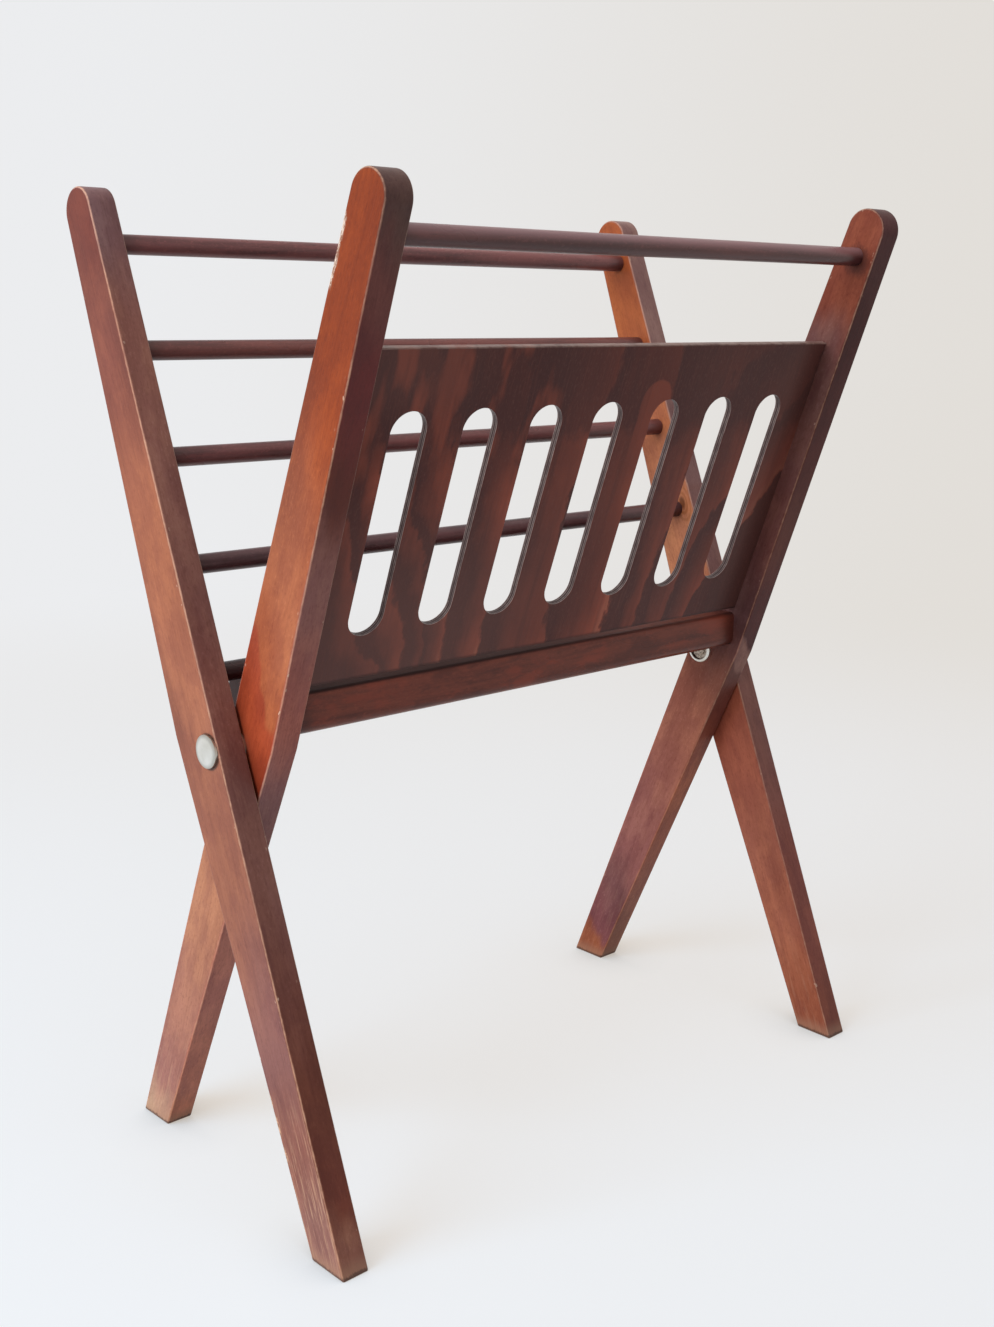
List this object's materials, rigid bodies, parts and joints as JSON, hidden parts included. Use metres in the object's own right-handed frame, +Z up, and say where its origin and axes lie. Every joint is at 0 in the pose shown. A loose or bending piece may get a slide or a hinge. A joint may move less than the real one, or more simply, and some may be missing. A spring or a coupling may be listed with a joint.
{
  "type": "folding magazine rack",
  "caption": "Free-standing wooden rack whose rung frame and slotted panel frame cross on rivets, hold magazines in the trough between them, and fold together",
  "frame": {"origin": "on the floor under the middle of the rack, on the line below the two pivots", "axes": "+X along the rack to the end at the picture's right, +Y from the slotted panel's side to the rungs' side, +Z up; the rack stands open"},
  "size_m": [0.4046, 0.2334, 0.5041],
  "materials": {
    "frame_wood": "stained and lacquered, satin, worn pale along the arrises",
    "rung_wood": "dark stained and lacquered, satin",
    "panel_ply": "plywood, dark stained over a flamed face veneer, satin",
    "pin_wood": "bare beech, glued in",
    "rivet_nickel": "nickel plated steel, dulled"
  },
  "bodies": {
    "panel_frame": {"panel_leg_left": "frame_wood", "panel_leg_right": "frame_wood", "top_rail": "rung_wood", "slotted_panel": "panel_ply", "floor_board": "frame_wood", "board_pins_left": "pin_wood", "board_pins_right": "pin_wood", "pivot_rivet_left": "rivet_nickel", "pivot_rivet_right": "rivet_nickel", "pivot_cap_left": "rivet_nickel", "pivot_cap_right": "rivet_nickel", "spacer_washer_left": "rivet_nickel", "spacer_washer_right": "rivet_nickel"},
    "rung_frame": {"rung_leg_left": "frame_wood", "rung_leg_right": "frame_wood", "rung_1": "rung_wood", "rung_2": "rung_wood", "rung_3": "rung_wood", "rung_4": "rung_wood", "rung_5": "rung_wood"}
  },
  "joints": [
    {"name": "fold", "type": "hinge", "parent": "panel_frame", "child": "rung_frame", "pos_m": [0, 0, 0.2373], "axis": [1, 0, 0], "range_deg": [0, 31.5]}
  ]
}
